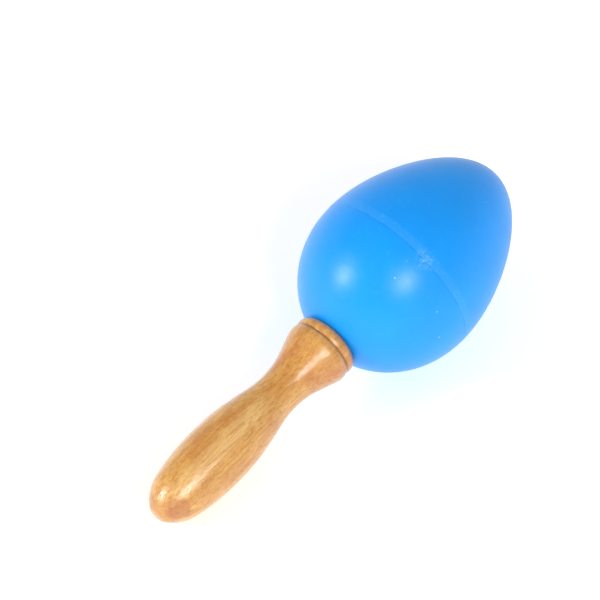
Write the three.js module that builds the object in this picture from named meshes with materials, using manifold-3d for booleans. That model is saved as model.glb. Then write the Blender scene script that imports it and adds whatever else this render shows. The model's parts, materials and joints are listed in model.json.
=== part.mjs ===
// Egg shaker on a turned wooden handle. A plastic egg, moulded in two halves that lap at the widest
// circle, is screwed to the handle's tenon from inside and holds loose round shot.
// Millimetres. The shaker lies on its side as it rests on a table: +X runs from the handle's butt
// towards the egg's tip and +Z is up. The origin is the middle of the footprint, on the table.

import * as THREE from 'three';
import { mergeVertices } from 'three/addons/utils/BufferGeometryUtils.js';
import Module from 'manifold-3d';

const wasm = await Module();
wasm.setup();

// Egg
const EGG_DIAMETER = 70;
const EGG_LENGTH = 94;
const EGG_TAPER = [0.195, -0.039, -0.055];
const WALL = 1.6;
const SEAM_ANGLE = THREE.MathUtils.degToRad(78.4);
const LAP_LENGTH = 4;
const LIP_THICKNESS = 0.65;
const GAP = 0.3;

// Handle, in pairs of a radius and a distance along the axis from the butt
const GRIP = [
  [3, 0], [4.5, 1.2], [7.4, 4.2], [9.95, 9], [11.45, 16], [12.35, 24], [12.65, 32], [12.2, 42],
  [10.6, 52.5], [8.75, 62], [8.45, 68.5], [9.2, 75], [11.2, 81.5], [12.95, 86.8], [13.1, 89.4], [12.8, 90.4],
];
const GROOVE = [12.1, 90.9];
const BEAD = [[12.75, 91.4], [13.25, 92.6], [13.3, 94.4]];
const COLLAR_EDGE = 95.5;
const COLLAR_EDGE_RADIUS = 11.25;
const TENON_RADIUS = 6.25;
const TENON_CHAMFER = 0.5;
const PILOT_RADIUS = 2.3;
const PILOT_DEPTH = 23.5;

// Boss and fastener inside the egg
const BOSS_RADIUS = 8.5;
const BOSS_HEIGHT = 10;
const WASHER_RADIUS = 9;
const WASHER_THICKNESS = 1.2;
const SCREW_RADIUS = 2;
const SCREW_LENGTH = 25;
const THREAD_PITCH = 2.5;
const THREAD_DEPTH = 0.5;
const HEAD_RADIUS = 3.75;
const HEAD_HEIGHT = 2.6;
const RECESS_DEPTH = 1.3;
const RECESS_LENGTH = 4.5;
const RECESS_WIDTH = 1;

// Shot
const SHOT_RADIUS = 2;
const SHOT_PITCH = 4.45;
const SHOT_ROWS = [4, 5, 6, 5, 4];
const SHOT_CENTRE = 29.4;

// Round parts have a flat facet facing down, so that the shaker rests still
const SEGMENTS = 48;
const SCREW_SEGMENTS = 16;
const GRIP_STEPS = 30;
const BEAD_STEPS = 5;
const DISH_STEPS = 3;
const LOWER_STEPS = 12;
const UPPER_INNER_STEPS = 14;
const UPPER_OUTER_STEPS = 16;
const HEAD_STEPS = 4;
const WALL_STEPS = 400;

const HALF_LENGTH = EGG_LENGTH / 2;
const EGG_SCALE = EGG_DIAMETER / 2 / widestOutlineRadius();
const EGG_START = COLLAR_EDGE - outlineAt(angleAtRadius(COLLAR_EDGE_RADIUS, -GAP), -GAP).y;
const BOSS_TOP = EGG_START + BOSS_HEIGHT;
const TENON_END = BOSS_TOP - GAP;
const WASHER_BASE = BOSS_TOP + GAP;
const HEAD_BASE = WASHER_BASE + WASHER_THICKNESS + GAP;

const BLUE_PLASTIC = { color: 0x1c98fa, roughness: 0.42, metalness: 0 };
const LACQUERED_WOOD = { color: 0xd9a04f, roughness: 0.3, metalness: 0 };
const ZINC_STEEL = { color: 0xb9bcc0, roughness: 0.35, metalness: 1 };
const SHOT_STEEL = { color: 0x8d9196, roughness: 0.3, metalness: 1 };

// The egg's outline before scaling: an angle of 0 is the blunt end and PI is the tip
function taper(angle) {
  const c = Math.cos(angle);
  return 1 + EGG_TAPER[0] * c + EGG_TAPER[1] * c ** 2 + EGG_TAPER[2] * c ** 3;
}

function widestOutlineRadius() {
  let widest = 0;
  for (let angle = 0; angle < Math.PI; angle += 0.001) {
    widest = Math.max(widest, Math.sin(angle) * taper(angle));
  }
  return widest;
}

function eggSurface(angle) {
  const radius = EGG_SCALE * Math.sin(angle) * taper(angle);
  return new THREE.Vector2(radius, HALF_LENGTH * (1 - Math.cos(angle)));
}

// A point of the egg's outline, x from the axis and y from the blunt end, sunk by depth
function outlineAt(angle, depth) {
  const step = 1e-4;
  const along = eggSurface(angle + step).sub(eggSurface(angle - step)).normalize();
  return eggSurface(angle).add(new THREE.Vector2(-along.y, along.x).multiplyScalar(depth));
}

// The angle, on the blunt half, where the outline sunk by depth is at a radius
function angleAtRadius(radius, depth) {
  let low = 0;
  let high = Math.PI / 3;
  while (high - low > 1e-7) {
    const middle = (low + high) / 2;
    if (outlineAt(middle, depth).x < radius) {
      low = middle;
    } else {
      high = middle;
    }
  }
  return low;
}

function outlineRun(from, to, depth, steps) {
  const points = [];
  for (let i = 0; i <= steps; i += 1) {
    const point = outlineAt(THREE.MathUtils.lerp(from, to, i / steps), depth);
    points.push(new THREE.Vector2(Math.max(point.x, 0), point.y + EGG_START));
  }
  return points;
}

// The angle that a distance along the shell spans near the seam
function seamSpan(distance) {
  return distance / (HALF_LENGTH * Math.sin(SEAM_ANGLE));
}

// A solid of revolution about X. Its facets touch the true round surface at their middles.
function turned(profile, segments = SEGMENTS) {
  const scale = 1 / Math.cos(Math.PI / segments);
  const points = profile.map((point) => new THREE.Vector2(point.x * scale, point.y));
  const geometry = new THREE.LatheGeometry(points, segments, Math.PI / segments);
  return geometry.rotateZ(-Math.PI / 2);
}

function points(...pairs) {
  return pairs.map(([x, y]) => new THREE.Vector2(x, y));
}

function meshOf(name, geometry, look) {
  const mesh = new THREE.Mesh(geometry, new THREE.MeshStandardMaterial(look));
  mesh.name = name;
  return mesh;
}

// The grip from the butt's flat to the groove under the collar
function gripOutline() {
  return new THREE.SplineCurve(points(...GRIP)).getPoints(GRIP_STEPS);
}

// The collar's rounded bead, from the groove to the edge that meets the egg
function beadOutline() {
  const curve = new THREE.CubicBezierCurve(...points(...BEAD, [COLLAR_EDGE_RADIUS, COLLAR_EDGE]));
  return curve.getPoints(BEAD_STEPS);
}

// The hollow end face, which follows the egg down to the tenon
function dishOutline() {
  const edge = angleAtRadius(COLLAR_EDGE_RADIUS, -GAP);
  const root = angleAtRadius(TENON_RADIUS, -GAP);
  return outlineRun(edge, root, -GAP, DISH_STEPS).slice(1);
}

function pilotOutline() {
  const bottom = TENON_END - PILOT_DEPTH;
  return points([PILOT_RADIUS, TENON_END], [PILOT_RADIUS, bottom], [0, bottom - PILOT_RADIUS / 2]);
}

function handle() {
  const profile = [
    new THREE.Vector2(0, 0),
    ...gripOutline(),
    ...points(GROOVE),
    ...beadOutline(),
    ...dishOutline(),
    ...points([TENON_RADIUS, TENON_END - TENON_CHAMFER], [TENON_RADIUS - TENON_CHAMFER, TENON_END]),
    ...pilotOutline(),
  ];
  return meshOf('handle', turned(profile), LACQUERED_WOOD);
}

// The blunt half: a bowl with the tenon's hole and boss, and an inner lip past the seam
function lowerShell() {
  const bore = TENON_RADIUS + GAP;
  const lipEnd = SEAM_ANGLE + seamSpan(LAP_LENGTH);
  const lipDepth = WALL - LIP_THICKNESS;
  const profile = [
    ...outlineRun(angleAtRadius(bore, 0), SEAM_ANGLE, 0, LOWER_STEPS),
    ...outlineRun(SEAM_ANGLE, lipEnd, lipDepth, 1),
    ...outlineRun(lipEnd, angleAtRadius(BOSS_RADIUS, WALL), WALL, LOWER_STEPS),
    ...points([BOSS_RADIUS, BOSS_TOP], [bore, BOSS_TOP]),
  ];
  profile.push(profile[0].clone());
  return meshOf('lower_shell', turned(profile), BLUE_PLASTIC);
}

// The tip half: a deeper bowl with an outer lip that covers the other half's lip
function upperShell() {
  const rim = SEAM_ANGLE + seamSpan(GAP);
  const shoulder = SEAM_ANGLE + seamSpan(LAP_LENGTH + GAP);
  const profile = [
    ...outlineRun(Math.PI, shoulder, WALL, UPPER_INNER_STEPS),
    ...outlineRun(shoulder, rim, LIP_THICKNESS, 1),
    ...outlineRun(rim, Math.PI, 0, UPPER_OUTER_STEPS),
  ];
  return meshOf('upper_shell', turned(profile), BLUE_PLASTIC);
}

function screwWasher() {
  const hole = SCREW_RADIUS + GAP;
  const top = WASHER_BASE + WASHER_THICKNESS;
  const profile = points(
    [hole, WASHER_BASE], [WASHER_RADIUS, WASHER_BASE], [WASHER_RADIUS, top], [hole, top], [hole, WASHER_BASE],
  );
  return meshOf('screw_washer', turned(profile), ZINC_STEEL);
}

// The wood screw's tip and ridged shank, from its point up to the head
function shankOutline() {
  const tip = HEAD_BASE - SCREW_LENGTH;
  const root = SCREW_RADIUS - THREAD_DEPTH;
  const profile = points([0, tip], [root, tip + THREAD_PITCH]);
  const turns = Math.floor((SCREW_LENGTH - 2 * THREAD_PITCH) / THREAD_PITCH);
  for (let i = 1; i <= turns; i += 1) {
    const crest = tip + (i + 0.5) * THREAD_PITCH;
    profile.push(...points([SCREW_RADIUS, crest], [root, crest + THREAD_PITCH / 2]));
  }
  return profile;
}

function headOutline() {
  const top = HEAD_BASE + HEAD_HEIGHT;
  const dome = new THREE.QuadraticBezierCurve(
    new THREE.Vector2(HEAD_RADIUS, HEAD_BASE + HEAD_HEIGHT / 3),
    new THREE.Vector2(HEAD_RADIUS, top),
    new THREE.Vector2(0, top),
  );
  const underside = points([SCREW_RADIUS - THREAD_DEPTH, HEAD_BASE], [HEAD_RADIUS, HEAD_BASE]);
  return [...underside, ...dome.getPoints(HEAD_STEPS)];
}

function toSolid(geometry) {
  const bare = new THREE.BufferGeometry();
  bare.setAttribute('position', geometry.getAttribute('position'));
  bare.setIndex(geometry.getIndex());
  const merged = mergeVertices(bare, 1e-4);
  const vertProperties = Float32Array.from(merged.getAttribute('position').array);
  const triVerts = Uint32Array.from(merged.getIndex().array);
  return new wasm.Manifold(new wasm.Mesh({ numProp: 3, vertProperties, triVerts }));
}

function toGeometry(solid) {
  const mesh = solid.getMesh();
  const geometry = new THREE.BufferGeometry();
  geometry.setAttribute('position', new THREE.BufferAttribute(mesh.vertProperties, 3));
  geometry.setIndex(new THREE.BufferAttribute(mesh.triVerts, 1));
  return geometry;
}

// One bar of the head's cross recess, turned about the screw's axis
function recessBar(turn) {
  const bar = new THREE.BoxGeometry(2 * RECESS_DEPTH, RECESS_LENGTH, RECESS_WIDTH);
  bar.rotateX(turn).translate(HEAD_BASE + HEAD_HEIGHT, 0, 0);
  return toSolid(bar);
}

function handleScrew() {
  const blank = toSolid(turned([...shankOutline(), ...headOutline()], SCREW_SEGMENTS));
  const screw = blank.subtract(recessBar(0)).subtract(recessBar(Math.PI / 2));
  return meshOf('handle_screw', toGeometry(screw), ZINC_STEEL);
}

// The lowest point of a turned outline whose axis slopes up by the tilt, with the butt at height 0
function lowestOf(outline, tilt) {
  const heights = outline.map((point) => point.y * Math.sin(tilt) - point.x * Math.cos(tilt));
  return Math.min(...heights);
}

// The slope of the axis when the egg and the grip's swell both touch the table
function restTilt() {
  const grip = gripOutline();
  const egg = outlineRun(angleAtRadius(TENON_RADIUS + GAP, 0), SEAM_ANGLE, 0, LOWER_STEPS);
  let low = 0;
  let high = Math.PI / 4;
  while (high - low > 1e-7) {
    const tilt = (low + high) / 2;
    if (lowestOf(egg, tilt) < lowestOf(grip, tilt)) {
      low = tilt;
    } else {
      high = tilt;
    }
  }
  return low;
}

// Where a vertical lane's shot lies: the height where it clears the egg's inner wall by the gap
function shotHeight(x, y, tilt) {
  const wall = outlineRun(0, Math.PI, WALL, WALL_STEPS);
  const clearance = (z) => {
    const along = x * Math.cos(tilt) + z * Math.sin(tilt);
    const across = z * Math.cos(tilt) - x * Math.sin(tilt);
    const place = new THREE.Vector2(Math.hypot(across, y), along);
    return Math.min(...wall.map((point) => point.distanceTo(place)));
  };
  let low = x * Math.tan(tilt) - EGG_DIAMETER / 2;
  let high = x * Math.tan(tilt);
  while (high - low > 1e-5) {
    const middle = (low + high) / 2;
    if (clearance(middle) < SHOT_RADIUS + GAP) {
      low = middle;
    } else {
      high = middle;
    }
  }
  return high;
}

// Shot in a hexagonal patch on the lowest part of the egg's floor, each piece in its own lane
function shot(tilt) {
  const pieces = [];
  const centre = (EGG_START + SHOT_CENTRE) * Math.cos(tilt) + (EGG_DIAMETER / 2) * Math.sin(tilt);
  SHOT_ROWS.forEach((count, row) => {
    const y = (row - (SHOT_ROWS.length - 1) / 2) * SHOT_PITCH * Math.sin(Math.PI / 3);
    for (let i = 0; i < count; i += 1) {
      const x = centre + (i - (count - 1) / 2) * SHOT_PITCH;
      const name = `shot_${String(pieces.length + 1).padStart(2, '0')}`;
      const piece = meshOf(name, new THREE.IcosahedronGeometry(SHOT_RADIUS, 1), SHOT_STEEL);
      piece.position.set(x, y, shotHeight(x, y, tilt));
      pieces.push(piece);
    }
  });
  return pieces;
}

function eggShaker() {
  const tilt = restTilt();
  const body = new THREE.Group();
  body.add(handle(), lowerShell(), upperShell(), screwWasher(), handleScrew());
  body.rotation.y = -tilt;
  const shaker = new THREE.Group();
  shaker.add(body, ...shot(tilt));
  shaker.updateMatrixWorld(true);
  const box = new THREE.Box3().setFromObject(shaker, true);
  const middle = box.getCenter(new THREE.Vector3());
  shaker.position.set(-middle.x, -middle.y, -box.min.z);
  return shaker;
}

export default eggShaker();
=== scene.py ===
import json
import math
import random

import bpy
import numpy as np
from mathutils import Matrix, Vector


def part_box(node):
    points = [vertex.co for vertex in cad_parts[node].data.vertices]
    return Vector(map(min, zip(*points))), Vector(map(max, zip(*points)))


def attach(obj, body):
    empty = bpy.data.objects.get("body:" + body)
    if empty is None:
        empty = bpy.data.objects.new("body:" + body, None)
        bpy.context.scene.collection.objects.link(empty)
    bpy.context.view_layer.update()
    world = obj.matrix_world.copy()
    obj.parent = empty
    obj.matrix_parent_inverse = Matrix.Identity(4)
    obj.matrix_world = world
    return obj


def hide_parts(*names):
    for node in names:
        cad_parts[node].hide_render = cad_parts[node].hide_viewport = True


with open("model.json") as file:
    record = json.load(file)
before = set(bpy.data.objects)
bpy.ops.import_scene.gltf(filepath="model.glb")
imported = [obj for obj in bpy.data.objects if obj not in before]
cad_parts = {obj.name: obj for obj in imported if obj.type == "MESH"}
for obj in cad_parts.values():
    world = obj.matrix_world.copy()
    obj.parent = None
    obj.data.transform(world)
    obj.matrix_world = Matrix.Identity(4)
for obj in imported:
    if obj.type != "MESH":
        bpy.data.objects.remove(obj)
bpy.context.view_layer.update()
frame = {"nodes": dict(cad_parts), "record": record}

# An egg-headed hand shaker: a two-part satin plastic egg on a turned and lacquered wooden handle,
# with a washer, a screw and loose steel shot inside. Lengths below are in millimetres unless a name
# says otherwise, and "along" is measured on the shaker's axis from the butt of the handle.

MM = 0.001

# Egg and handle. The drawn surface lies inside the solid's by the skin's depth.
EGG_DIAMETER = 70
EGG_LENGTH = 94
EGG_TAPER = (0.195, -0.039, -0.055)
WALL = 1.6
SEAM_ANGLE = math.radians(78.4)
LAP_LENGTH = 4
LIP_THICKNESS = 0.65
GAP = 0.3
SKIN = 0.04
EDGE_ROUND = 0.05
SEAM_LINE = 0.04
SEAM_STEP = 0.02
SEAM_BAND = 3.2
COLLAR_EDGE = 95.5
COLLAR_EDGE_RADIUS = 11.25
GROOVE_ALONG = 90.9
TENON_RADIUS = 6.25
PILOT_RADIUS = 2.3
PILOT_DEPTH = 23.5
GROOVE_CENTRE_RADIUS = 12.85
GROOVE_RADIUS = 0.5

# Points of the handle's outline as (radius, along), from the butt's dome to the groove
GRIP = (
    (0, 0), (2.6, 0.25), (4.5, 1.2), (7.4, 4.2), (9.95, 9), (11.45, 16), (12.35, 24), (12.65, 32),
    (12.2, 42), (10.6, 52.5), (8.75, 62), (8.45, 68.5), (9.2, 75), (11.2, 81.5), (12.95, 86.8),
    (13.1, 89.4), (12.8, 90.4),
)
BEAD = ((12.75, 91.35), (13.25, 92.5), (13.3, 94.3))

# Marks, as points in the shaker's own frame
BUTT_PATCH = (3.2, 7.2, 5.0)
SEAM_SCUFF = (28.3, 20.3, 131.4)

# Inside the egg
BOSS_RADIUS = 8.5
BOSS_HEIGHT = 10
WASHER_RADIUS = 9
WASHER_THICKNESS = 1.2
SCREW_RADIUS = 2
SCREW_LENGTH = 25
THREAD_PITCH = 2.5
THREAD_DEPTH = 0.5
HEAD_RADIUS = 3.75
HEAD_HEIGHT = 2.6
RECESS_DEPTH = 1.3
RECESS_LENGTH = 4.5
RECESS_WIDTH = 1
SHOT_RADIUS = 2
SHOT_BELT = 0.015

# Straight sides of each turned solid
HANDLE_SEGMENTS = 160
EGG_SEGMENTS = 200
WASHER_SEGMENTS = 96
SHOT_SEGMENTS = 48

# Camera and light, in metres and degrees
AIM = Vector((0.028, 0.0393, 0))
CAMERA_AZIMUTH = -47.3
CAMERA_ELEVATION = 47.2
CAMERA_DISTANCE = 2.5
CAMERA_LENS = 397.9
LIGHT_DISTANCE = 1.6
LIGHTS = (
    ("left_softbox", Vector((-0.76, 0.44, 0.48)), 0.4, 12),
    ("right_softbox", Vector((-0.32, -0.68, 0.66)), 0.42, 12),
)
WALLS_GLOW = 0.9
CEILING_GLOW = 0.42
TABLE_GLOW = 0.35

# Half the ground's width, in millimetres
GROUND_REACH = 12000

HALF_LENGTH = EGG_LENGTH / 2


# ---- Shapes -------------------------------------------------------------------------------------

def taper(angle):
    c = math.cos(angle)
    return 1 + EGG_TAPER[0] * c + EGG_TAPER[1] * c ** 2 + EGG_TAPER[2] * c ** 3


EGG_SCALE = EGG_DIAMETER / 2 / max(math.sin(a) * taper(a) for a in np.linspace(0, math.pi, 4000))


def egg_surface(angle):
    """A point of the egg's outline as (radius, distance from the blunt end); the tip is at pi."""
    return np.array((EGG_SCALE * math.sin(angle) * taper(angle), HALF_LENGTH * (1 - math.cos(angle))))


def outline_at(angle, depth):
    """The outline's point sunk by a depth below the egg's surface."""
    step = 1e-4
    run = egg_surface(angle + step) - egg_surface(angle - step)
    run /= np.linalg.norm(run)
    return egg_surface(angle) + np.array((-run[1], run[0])) * depth


def angle_at_radius(radius, depth):
    low, high = 0.0, math.pi / 3
    while high - low > 1e-7:
        middle = (low + high) / 2
        if outline_at(middle, depth)[0] < radius:
            low = middle
        else:
            high = middle
    return low


EGG_START = COLLAR_EDGE - outline_at(angle_at_radius(COLLAR_EDGE_RADIUS, -GAP), -GAP)[1]
BOSS_TOP = EGG_START + BOSS_HEIGHT
TENON_END = BOSS_TOP - GAP
WASHER_BASE = BOSS_TOP + GAP
HEAD_BASE = WASHER_BASE + WASHER_THICKNESS + GAP
SEAM_ALONG = EGG_START + egg_surface(SEAM_ANGLE)[1]


def egg_point(angle, depth):
    radius, along = outline_at(angle, depth)
    return max(radius, 0.0), along + EGG_START


def egg_run(start, end, depth, steps):
    return [egg_point(angle, depth) for angle in np.linspace(start, end, steps + 1)]


def seam_span(distance):
    """The angle that a distance along the shell spans near the seam."""
    return distance / (HALF_LENGTH * math.sin(SEAM_ANGLE))


def spline(points, steps):
    """A uniform Catmull-Rom curve through the points, with its ends repeated."""
    p = np.array([points[0], *points, points[-1]], float)
    curve = []
    for i in range(len(points) - 1):
        a, b, c, d = p[i:i + 4]
        for t in np.linspace(0, 1, steps, endpoint=False):
            bend = (2 * a - 5 * b + 4 * c - d) * t ** 2 + (3 * b - a - 3 * c + d) * t ** 3
            curve.append(tuple(b + ((c - a) * t + bend) / 2))
    curve.append(tuple(p[-1]))
    return curve


def arc(centre, radius, start, end, steps):
    """Points of a round corner, with angles in degrees from the radial direction."""
    angles = np.radians(np.linspace(start, end, steps + 1))
    return [(centre[0] + radius * math.cos(a), centre[1] + radius * math.sin(a)) for a in angles]


def bezier(a, b, c, d, steps):
    points = []
    for t in np.linspace(0, 1, steps + 1):
        weights = ((1 - t) ** 3, 3 * (1 - t) ** 2 * t, 3 * (1 - t) * t ** 2, t ** 3)
        points.append(tuple(np.array(weights) @ np.array((a, b, c, d), float)))
    return points


# ---- Meshes -------------------------------------------------------------------------------------

BUTT_MOUNT = next(m for m in frame["record"]["mounts"] if m["name"] == "butt_end")
AXIS = -Vector(BUTT_MOUNT["axis"]).normalized()
SIDE = Vector((0, -1, 0))
UP = SIDE.cross(AXIS)
SHAKER_PLACE = Matrix.Translation(BUTT_MOUNT["pos_m"]) @ Matrix((UP, SIDE, AXIS)).transposed().to_4x4()


def new_piece(name, vertices, faces, material, place=SHAKER_PLACE, origin=(0, 0, 0), sharp=35):
    """A smooth-shaded mesh object from points in millimetres. The points are turned into the row
    frame by the place, so that only the object's origin is left to it."""
    mesh = bpy.data.meshes.new(name)
    mesh.from_pydata((np.asarray(vertices, float) * MM).tolist(), [], faces)
    mesh.transform(place)
    mesh.materials.append(material)
    mesh.polygons.foreach_set("use_smooth", [True] * len(mesh.polygons))
    mesh.set_sharp_from_angle(angle=math.radians(sharp))
    mesh.validate()
    piece = bpy.data.objects.new(name, mesh)
    bpy.context.scene.collection.objects.link(piece)
    piece.location = origin
    return piece


def turned_mesh(profile, segments):
    """Vertices and faces of a solid of revolution about Z. The profile runs counter-clockwise, with
    the radius first, and either closes on itself or starts and ends on the axis."""
    turns = np.linspace(0, 2 * math.pi, segments, endpoint=False)
    rings, vertices = [], []
    closed = profile[0][0] > 0
    for radius, along in profile:
        if radius <= 1e-9:
            rings.append([len(vertices)] * segments)
            vertices.append((0.0, 0.0, along))
        else:
            rings.append(list(range(len(vertices), len(vertices) + segments)))
            vertices += [(radius * math.cos(t), radius * math.sin(t), along) for t in turns]
    faces = []
    pairs = list(zip(rings, rings[1:] + rings[:1])) if closed else list(zip(rings, rings[1:]))
    for low, high in pairs:
        for i in range(segments):
            j = (i + 1) % segments
            face = [low[i], low[j], high[j], high[i]]
            faces.append(list(dict.fromkeys(face)))
    return vertices, faces


def stand_for(piece, node, body):
    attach(piece, body)
    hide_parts(node)


# ---- Materials ----------------------------------------------------------------------------------

def srgb(red, green, blue):
    """A display colour, 0 to 255, as a scene-linear colour."""
    def linear(value):
        value /= 255
        return value / 12.92 if value <= 0.04045 else ((value + 0.055) / 1.055) ** 2.4
    return (linear(red), linear(green), linear(blue), 1.0)


class Surface:
    """A material with short calls that add its nodes."""

    def __init__(self, name):
        self.material = bpy.data.materials.new(name)
        self.material.use_nodes = True
        self.tree = self.material.node_tree
        self.shader = self.tree.nodes["Principled BSDF"]

    def put(self, socket, value):
        if isinstance(value, bpy.types.NodeSocket):
            self.tree.links.new(value, socket)
        else:
            socket.default_value = value

    def add(self, kind, inputs, out=0, **settings):
        node = self.tree.nodes.new(kind)
        for name, value in settings.items():
            setattr(node, name, value)
        for name, value in inputs.items():
            self.put(node.inputs[name], value)
        return node.outputs[out]

    def set(self, **values):
        for name, value in values.items():
            self.put(self.shader.inputs[name.replace("_", " ")], value)

    def place(self, frame_matrix=None):
        """Millimetres from the object's origin, or in the shaker's own frame, with Z along its axis."""
        here = self.add("ShaderNodeTexCoord", {}, out="Object")
        inverse = (frame_matrix or Matrix.Identity(4)).inverted()
        turn = tuple(inverse.to_euler())
        return self.scaled(here, (1 / MM,) * 3, tuple(inverse.translation / MM), turn)

    def scaled(self, vector, scale, shift=(0, 0, 0), turn=(0, 0, 0)):
        inputs = {"Vector": vector, "Scale": scale, "Location": shift, "Rotation": turn}
        return self.add("ShaderNodeMapping", inputs)

    def noise(self, vector, scale=1.0, detail=4.0, roughness=0.5, warp=0.0):
        inputs = {"Vector": vector, "Scale": scale, "Detail": detail, "Roughness": roughness}
        return self.add("ShaderNodeTexNoise", {**inputs, "Distortion": warp})

    def math(self, operation, a, b=0.0):
        return self.add("ShaderNodeMath", {0: a, 1: b}, operation=operation)

    def ramp(self, value, low, high, to_low=0.0, to_high=1.0, smooth=True):
        kind = "SMOOTHSTEP" if smooth else "LINEAR"
        inputs = {"Value": value, "From Min": low, "From Max": high, "To Min": to_low, "To Max": to_high}
        return self.add("ShaderNodeMapRange", inputs, interpolation_type=kind)

    def mix(self, factor, a, b, blend="MIX"):
        inputs = {0: factor, 6: a, 7: b}
        return self.add("ShaderNodeMix", inputs, out=2, data_type="RGBA", blend_type=blend)

    def band(self, value, start, end, edge):
        """1 between start and end, fading to 0 over the edge's width outside them."""
        rise = self.ramp(value, start - edge, start)
        fall = self.ramp(value, end, end + edge, 1.0, 0.0)
        return self.math("MULTIPLY", rise, fall)

    def distance(self, vector, point):
        inputs = {0: vector, 1: point}
        return self.add("ShaderNodeVectorMath", inputs, out="Value", operation="DISTANCE")

    def bump(self, height, distance, strength=1.0, normal=None):
        inputs = {"Height": height, "Distance": distance * MM, "Strength": strength}
        if normal is not None:
            inputs["Normal"] = normal
        return self.add("ShaderNodeBump", inputs)

    def parts(self, vector):
        node = self.tree.nodes.new("ShaderNodeSeparateXYZ")
        self.tree.links.new(vector, node.inputs[0])
        return node.outputs[0], node.outputs[1], node.outputs[2]


def blue_plastic():
    """Satin moulded plastic, hazed by handling, with dust specks and a scuffed band at the seam."""
    s = Surface("satin_blue_plastic")
    here = s.place(SHAKER_PLACE)
    along = s.parts(here)[2]
    mottle = s.noise(here, 0.07, 3, 0.55)
    haze = s.noise(here, 0.45, 7, 0.68, 0.4)
    colour = s.mix(mottle, srgb(0, 145, 240), srgb(0, 155, 248))
    colour = s.mix(s.ramp(haze, 0.5, 0.8, 0.0, 0.02), colour, srgb(110, 180, 240))

    wander = s.math("ADD", along, s.ramp(s.noise(here, 0.12, 2), 0, 1, -0.6, 0.6))
    band = s.band(wander, SEAM_ALONG + 0.3, SEAM_ALONG + SEAM_BAND, 0.7)
    worn = s.ramp(s.noise(here, 0.9, 6, 0.7), 0.45, 0.65)
    scuff = s.math("MULTIPLY", band, s.math("ADD", s.math("MULTIPLY", worn, 0.07), 0.03))
    rubbed = s.math("MULTIPLY", s.ramp(s.distance(here, SEAM_SCUFF), 1.0, 5.5, 0.4, 0.0), worn)
    scuff = s.math("ADD", scuff, rubbed)
    colour = s.mix(scuff, colour, srgb(150, 205, 245))

    cells = s.add("ShaderNodeTexVoronoi", {"Vector": here, "Scale": 0.16, "Randomness": 1.0}, out="Distance")
    chance = s.ramp(s.noise(here, 0.11, 1), 0.46, 0.54)
    speck = s.math("MULTIPLY", s.ramp(cells, 0.035, 0.06, 1.0, 0.0), chance)
    streaks = s.noise(s.scaled(here, (1.6, 0.12, 0.5), (3, 8, 1)), 1.0, 2, 0.5, 0.6)
    scratch = s.math("MULTIPLY", s.band(streaks, 0.5, 0.503, 0.004), s.ramp(haze, 0.5, 0.62))
    marks = s.math("MAXIMUM", s.math("MULTIPLY", speck, 0.6), s.math("MULTIPLY", scratch, 0.16))
    colour = s.mix(marks, colour, srgb(190, 225, 250))

    satin = s.noise(here, 5.5, 3, 0.6)
    waves = s.noise(s.scaled(here, (0.05, 0.05, 0.16)), 1.0, 2)
    surface = s.bump(waves, 0.5, 0.25, s.bump(satin, 0.02, 0.5))
    roughness = s.ramp(haze, 0.3, 0.75, 0.33, 0.38)
    roughness = s.math("ADD", roughness, s.math("MULTIPLY", scuff, 0.5))
    s.set(Base_Color=colour, Roughness=roughness, Normal=surface, IOR=1.5, Specular_IOR_Level=0.4)
    return s.material


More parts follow.
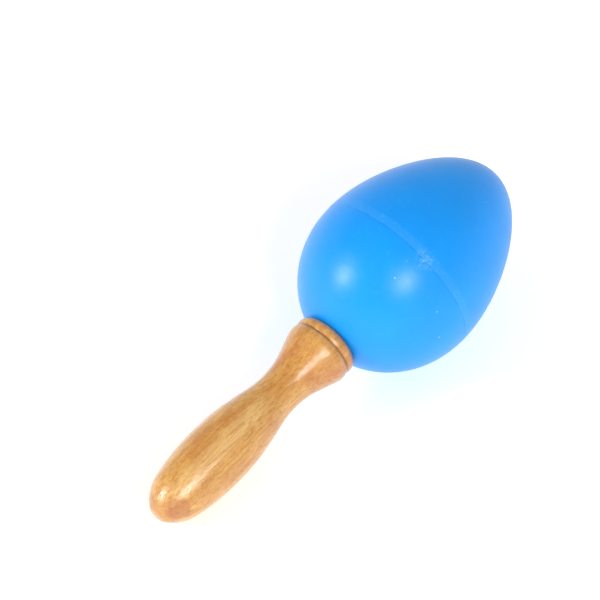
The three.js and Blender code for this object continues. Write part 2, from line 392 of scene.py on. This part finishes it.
def lacquered_wood():
    """Pale hardwood under amber lacquer: rings and pores along the handle, red-brown end grain at the
    butt, a darker flare, a painted highlight along the grip's lit ridge, and painted shade in the groove and
    at the collar's edge."""
    s = Surface("lacquered_turned_wood")
    here = s.place(SHAKER_PLACE)
    x, y, along = s.parts(here)

    drift = s.noise(s.scaled(here, (0.05, 0.05, 0.012)), 1.0, 3, 0.5)
    board = s.math("ADD", s.math("MULTIPLY", x, 0.35), s.math("MULTIPLY", y, 0.16))
    rings = s.math("SINE", s.math("MULTIPLY", s.math("ADD", board, s.math("MULTIPLY", drift, 9)), 2.4))
    fibre = s.noise(s.scaled(here, (1.1, 1.1, 0.07)), 1.0, 5, 0.62, 0.3)
    pores = s.noise(s.scaled(here, (2.6, 2.6, 0.5)), 1.0, 3, 0.6, 0.2)
    fleck = s.noise(s.scaled(here, (1.5, 1.5, 0.9), (4, 1, 6)), 1.0, 4, 0.7)
    blotch = s.noise(s.scaled(here, (0.11, 0.11, 0.05), (7, 2, 3)), 1.0, 4, 0.6)
    mottle = s.noise(here, 0.55, 5, 0.65)

    colour = s.mix(s.ramp(fibre, 0.34, 0.7), srgb(226, 174, 92), srgb(194, 131, 52))
    colour = s.mix(s.ramp(rings, -1, 1, 0.0, 0.25), colour, srgb(184, 116, 42))
    flare = s.band(along, COLLAR_EDGE - 17, COLLAR_EDGE, 14)
    stain = s.math("ADD", s.ramp(blotch, 0.47, 0.7, 0.0, 0.52), s.math("MULTIPLY", flare, 0.2))
    colour = s.mix(stain, colour, srgb(184, 104, 34))
    colour = s.mix(s.ramp(mottle, 0.45, 0.75, 0.0, 0.35), colour, srgb(228, 180, 100))
    colour = s.mix(s.ramp(fleck, 0.52, 0.66, 0.0, 0.42), colour, srgb(156, 92, 34))
    colour = s.mix(s.ramp(pores, 0.58, 0.7, 0.0, 0.5), colour, srgb(132, 80, 30))

    # Painted highlight: a paler stripe along the lit ridge of the grip, on the side facing the lights,
    # broken up by the fibre.
    across = s.math("SUBTRACT", s.math("MULTIPLY", y, 0.9), s.math("MULTIPLY", x, 0.43))
    highlight_band = s.math("MULTIPLY", s.band(across, -1.5, 1.5, 3.5), s.ramp(x, 2, 6))
    highlight_band = s.math("MULTIPLY", highlight_band, s.band(along, 8, 50, 14))
    painted_highlight = s.math("MULTIPLY", highlight_band, s.ramp(fibre, 0.35, 0.65, 0.45, 0.15))
    colour = s.mix(painted_highlight, colour, srgb(246, 212, 148))

    ragged = s.math("ADD", s.distance(here, BUTT_PATCH), s.ramp(s.noise(here, 0.2, 3), 0, 1, -1.6, 1.6))
    end_grain = s.math("ADD", s.ramp(ragged, 3.8, 5.6, 0.45, 0.0), s.ramp(along, 0.5, 5.5, 0.3, 0.0))
    colour = s.mix(end_grain, colour, srgb(166, 88, 44))
    # Painted shade: darker wood along the collar's edge, where it meets the egg.
    collar_shade = s.ramp(along, COLLAR_EDGE - 1.6, COLLAR_EDGE - 0.2, 0.0, 0.6)
    colour = s.mix(collar_shade, colour, srgb(190, 98, 34))
    # Painted shade: a dark line along the groove.
    groove = s.band(along, GROOVE_ALONG - 0.1, GROOVE_ALONG + 0.2, 0.3)
    colour = s.mix(s.math("MULTIPLY", groove, 0.7), colour, srgb(124, 66, 24))

    turning = s.noise(s.scaled(here, (0.02, 0.02, 1.6)), 1.0, 2, 0.5)
    pits = s.noise(here, 2.6, 4, 0.65)
    surface = s.bump(turning, 0.05, 0.35, s.bump(fibre, 0.12, 0.5))
    surface = s.bump(pits, 0.12, 0.5, surface)
    roughness = s.ramp(mottle, 0.3, 0.7, 0.24, 0.4)
    s.set(Base_Color=colour, Roughness=roughness, Normal=surface, IOR=1.5)
    s.set(Coat_Weight=0.7, Coat_Roughness=0.1, Coat_Normal=s.bump(pits, 0.1, 0.7))
    return s.material


def plated_steel(name, colour, scale):
    """Bright steel with fine wear and a little tarnish."""
    s = Surface(name)
    here = s.place()
    tarnish = s.noise(here, 0.5 * scale, 5, 0.6)
    fine = s.noise(here, 9 * scale, 3, 0.6)
    shade = s.mix(s.ramp(tarnish, 0.45, 0.75, 0.0, 0.4), srgb(*colour), srgb(120, 112, 100))
    s.set(Base_Color=shade, Metallic=1.0, Roughness=s.ramp(tarnish, 0.3, 0.7, 0.22, 0.4))
    s.set(Normal=s.bump(fine, 0.01, 0.4))
    return s.material


def pale_ground():
    """A matt white table that glows weakly, which lifts the shadows on it."""
    s = Surface("pale_ground")
    here = s.place()
    s.set(Base_Color=s.mix(s.noise(here, 0.01, 2), srgb(246, 246, 246), srgb(250, 250, 250)), Roughness=0.7)
    s.set(Emission_Color=(1, 1, 1, 1), Emission_Strength=TABLE_GLOW)
    return s.material


# ---- Pieces -------------------------------------------------------------------------------------

def handle_profile():
    groove = arc((GROOVE_CENTRE_RADIUS, GROOVE_ALONG), GROOVE_RADIUS, 236, 124, 8)
    bead = bezier(*BEAD, (COLLAR_EDGE_RADIUS, COLLAR_EDGE), 20)
    dish = egg_run(angle_at_radius(COLLAR_EDGE_RADIUS, -GAP), angle_at_radius(TENON_RADIUS, -GAP), -GAP, 12)
    tenon = [(TENON_RADIUS, TENON_END - 0.5), (TENON_RADIUS - 0.5, TENON_END)]
    pilot_end = TENON_END - PILOT_DEPTH
    pilot = [(PILOT_RADIUS, TENON_END), (PILOT_RADIUS, pilot_end), (0, pilot_end - PILOT_RADIUS / 2)]
    grip = [(max(radius - SKIN, 0.0), along) for radius, along in spline(GRIP, 12)]
    return [*grip, *groove, *bead, *dish[1:], *tenon, *pilot]


def make_handle(material):
    piece = new_piece("turned_handle", *turned_mesh(handle_profile(), HANDLE_SEGMENTS), material)
    stand_for(piece, "handle", "shaker")


def lower_profile():
    bore = TENON_RADIUS + GAP
    corner = seam_span(EDGE_ROUND)
    lip_end = SEAM_ANGLE + seam_span(LAP_LENGTH)
    lip_depth = WALL - LIP_THICKNESS
    outer = egg_run(angle_at_radius(bore, SKIN), SEAM_ANGLE - corner, SKIN, 90)
    rim = [
        egg_point(SEAM_ANGLE - corner * 0.3, SKIN + EDGE_ROUND * 0.3),
        egg_point(SEAM_ANGLE, SKIN + EDGE_ROUND),
    ]
    lip = egg_run(SEAM_ANGLE, lip_end, lip_depth, 4)
    inner = egg_run(lip_end, angle_at_radius(BOSS_RADIUS + 0.6, WALL), WALL, 70)
    base = inner[-1][1]
    boss = [(BOSS_RADIUS + 0.2, base + 0.25), (BOSS_RADIUS, base + 0.8)]
    top = [(BOSS_RADIUS, BOSS_TOP - 0.3), (BOSS_RADIUS - 0.3, BOSS_TOP), (bore, BOSS_TOP)]
    return [*outer, *rim, *lip, *inner, *boss, *top]


def upper_profile():
    rim_angle = SEAM_ANGLE + seam_span(SEAM_LINE)
    corner = seam_span(EDGE_ROUND)
    shoulder = SEAM_ANGLE + seam_span(LAP_LENGTH + GAP)
    band_end = SEAM_ANGLE + seam_span(SEAM_BAND)
    inner = egg_run(math.pi, shoulder, WALL, 80)
    lip = egg_run(shoulder, rim_angle, LIP_THICKNESS, 4)
    raised = SKIN - SEAM_STEP
    rim = [
        egg_point(rim_angle, SKIN + EDGE_ROUND),
        egg_point(rim_angle + corner * 0.3, raised + EDGE_ROUND * 0.3),
    ]
    band = egg_run(rim_angle + corner, band_end, raised, 8)
    fade = [
        egg_point(band_end + seam_span(0.4), SKIN - SEAM_STEP / 2),
        egg_point(band_end + seam_span(0.9), SKIN),
    ]
    outer = egg_run(band_end + seam_span(1.5), math.pi, SKIN, 100)
    return [*inner, *lip, *rim, *band, *fade, *outer]


def make_egg(material):
    lower = new_piece("egg_blunt_half", *turned_mesh(lower_profile(), EGG_SEGMENTS), material)
    stand_for(lower, "lower_shell", "shaker")
    upper = new_piece("egg_tip_half", *turned_mesh(upper_profile(), EGG_SEGMENTS), material)
    stand_for(upper, "upper_shell", "shaker")


def make_washer(material):
    hole = SCREW_RADIUS + GAP
    low, high = WASHER_BASE, WASHER_BASE + WASHER_THICKNESS
    edge = 0.2
    profile = [
        (hole, low + edge), (hole + edge, low), (WASHER_RADIUS - edge, low), (WASHER_RADIUS, low + edge),
        (WASHER_RADIUS, high - edge), (WASHER_RADIUS - edge, high), (hole + edge, high), (hole, high - edge),
    ]
    piece = new_piece("flat_washer", *turned_mesh(profile, WASHER_SEGMENTS), material)
    stand_for(piece, "screw_washer", "shaker")


def screw_radius(along, turn):
    """The shank's radius, with a helical ridge that runs out at the point and under the head."""
    tip = HEAD_BASE - SCREW_LENGTH
    root = (SCREW_RADIUS - THREAD_DEPTH) * min(1.0, (along - tip) / THREAD_PITCH)
    phase = ((along - tip) / THREAD_PITCH - turn / (2 * math.pi)) % 1.0
    ridge = max(0.0, 1 - abs(phase - 0.5) * 4)
    fade = min(1.0, (along - tip) / (2 * THREAD_PITCH), max(0.0, (HEAD_BASE - 1.5 - along) / THREAD_PITCH))
    return max(root + THREAD_DEPTH * ridge * fade, 0.02)


def cross_depth(x, y):
    """How deep the head's cross recess is at a point of its top."""
    arm, width = RECESS_LENGTH / 2, RECESS_WIDTH / 2
    bars = [max(abs(x) - arm, abs(y) - width), max(abs(y) - arm, abs(x) - width)]
    return RECESS_DEPTH * min(1.0, max(0.0, -min(bars) / 0.12))


def make_screw(material):
    segments, steps, dome = 64, 180, 44
    tip = HEAD_BASE - SCREW_LENGTH
    turns = np.linspace(0, 2 * math.pi, segments, endpoint=False)
    rings = [[(screw_radius(a, t), a) for t in turns] for a in np.linspace(tip + 0.05, HEAD_BASE, steps)]
    rings.append([(HEAD_RADIUS - 0.1, HEAD_BASE)] * segments)
    for i in range(dome):
        reach = 1 - i / dome
        rise = HEAD_HEIGHT * (1 / 3 + 2 / 3 * (1 - reach ** 4) ** 0.8)
        radius = HEAD_RADIUS * reach
        cut = [cross_depth(radius * math.cos(t), radius * math.sin(t)) for t in turns]
        rings.append([(radius, HEAD_BASE + rise - c) for c in cut])
    vertices = [(0, 0, tip)]
    for ring in rings:
        vertices += [(r * math.cos(t), r * math.sin(t), a) for (r, a), t in zip(ring, turns)]
    vertices.append((0, 0, HEAD_BASE + HEAD_HEIGHT - RECESS_DEPTH))
    last = len(vertices) - 1
    faces = []
    for i in range(segments):
        j = (i + 1) % segments
        faces.append([0, 1 + j, 1 + i])
        faces.append([last, last - segments + i, last - segments + j])
        for k in range(len(rings) - 1):
            low, high = 1 + k * segments, 1 + (k + 1) * segments
            faces.append([low + i, low + j, high + j, high + i])
    piece = new_piece("pan_head_screw", vertices, faces, material)
    stand_for(piece, "handle_screw", "shaker")


def shot_profile():
    """A tumbled steel shot: round, with a faint belt where its mould halves met."""
    profile = []
    for latitude in np.linspace(-math.pi / 2, math.pi / 2, 33):
        belt = SHOT_BELT * math.exp(-(latitude / 0.08) ** 2)
        radius = SHOT_RADIUS - SHOT_BELT + belt
        profile.append((max(radius * math.cos(latitude), 0.0), radius * math.sin(latitude)))
    profile[0] = (0.0, profile[0][1])
    profile[-1] = (0.0, profile[-1][1])
    return profile


def make_shot(material):
    rng = random.Random(7)
    vertices, faces = turned_mesh(shot_profile(), SHOT_SEGMENTS)
    for node in sorted(n for n in frame["nodes"] if n.startswith("shot_")):
        low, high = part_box(node)
        tilt = Matrix.Rotation(rng.uniform(0, math.pi), 4, "X")
        spin = Matrix.Rotation(rng.uniform(0, math.pi), 4, "Z")
        centre = (low + high) / 2
        piece = new_piece("steel_" + node, vertices, faces, material, tilt @ spin, centre)
        stand_for(piece, node, node + "_body")


# ---- Studio -------------------------------------------------------------------------------------

def direction(azimuth, elevation):
    a, e = math.radians(azimuth), math.radians(elevation)
    return Vector((math.sin(a) * math.cos(e), -math.cos(a) * math.cos(e), math.sin(e)))


def make_camera():
    data = bpy.data.cameras.new("camera")
    data.lens = CAMERA_LENS
    data.sensor_width = 36
    data.clip_start, data.clip_end = 0.05, 50
    camera = bpy.data.objects.new("camera", data)
    bpy.context.scene.collection.objects.link(camera)
    back = direction(CAMERA_AZIMUTH, CAMERA_ELEVATION)
    camera.location = AIM + back * CAMERA_DISTANCE
    camera.rotation_euler = (-back).to_track_quat("-Z", "Y").to_euler()
    bpy.context.scene.camera = camera


def make_light(name, towards, size, power):
    data = bpy.data.lights.new(name, "AREA")
    data.shape = "DISK"
    data.size = size
    data.energy = power
    light = bpy.data.objects.new(name, data)
    bpy.context.scene.collection.objects.link(light)
    light.location = towards.normalized() * LIGHT_DISTANCE
    light.rotation_euler = towards.to_track_quat("Z", "Y").to_euler()
    light.visible_camera = False


def make_world():
    """A white room: walls that glow down to the floor, and a dimmer ceiling."""
    world = bpy.data.worlds.new("studio")
    world.use_nodes = True
    nodes, links = world.node_tree.nodes, world.node_tree.links
    here = nodes.new("ShaderNodeTexCoord")
    parts = nodes.new("ShaderNodeSeparateXYZ")
    glow = nodes.new("ShaderNodeMapRange")
    glow.interpolation_type = "SMOOTHSTEP"
    span = {"From Min": 0.1, "From Max": 0.6, "To Min": WALLS_GLOW, "To Max": CEILING_GLOW}
    for name, value in span.items():
        glow.inputs[name].default_value = value
    links.new(here.outputs["Generated"], parts.inputs[0])
    links.new(parts.outputs["Z"], glow.inputs["Value"])
    background = nodes["Background"]
    background.inputs["Color"].default_value = (1, 1, 1, 1)
    links.new(glow.outputs[0], background.inputs["Strength"])
    bpy.context.scene.world = world


def make_ground():
    reach = GROUND_REACH
    corners = [(-reach, -reach, 0), (reach, -reach, 0), (reach, reach, 0), (-reach, reach, 0)]
    ground = new_piece("ground", corners, [[0, 1, 2, 3]], pale_ground(), Matrix.Identity(4))


make_camera()
make_world()
for light in LIGHTS:
    make_light(*light)
make_ground()
bpy.context.scene.view_settings.view_transform = "Standard"

make_handle(lacquered_wood())
make_egg(blue_plastic())
ZINC = plated_steel("zinc_plated_steel", (196, 198, 200), 1.0)
make_washer(ZINC)
make_screw(ZINC)
make_shot(plated_steel("plain_steel_shot", (150, 154, 158), 2.0))
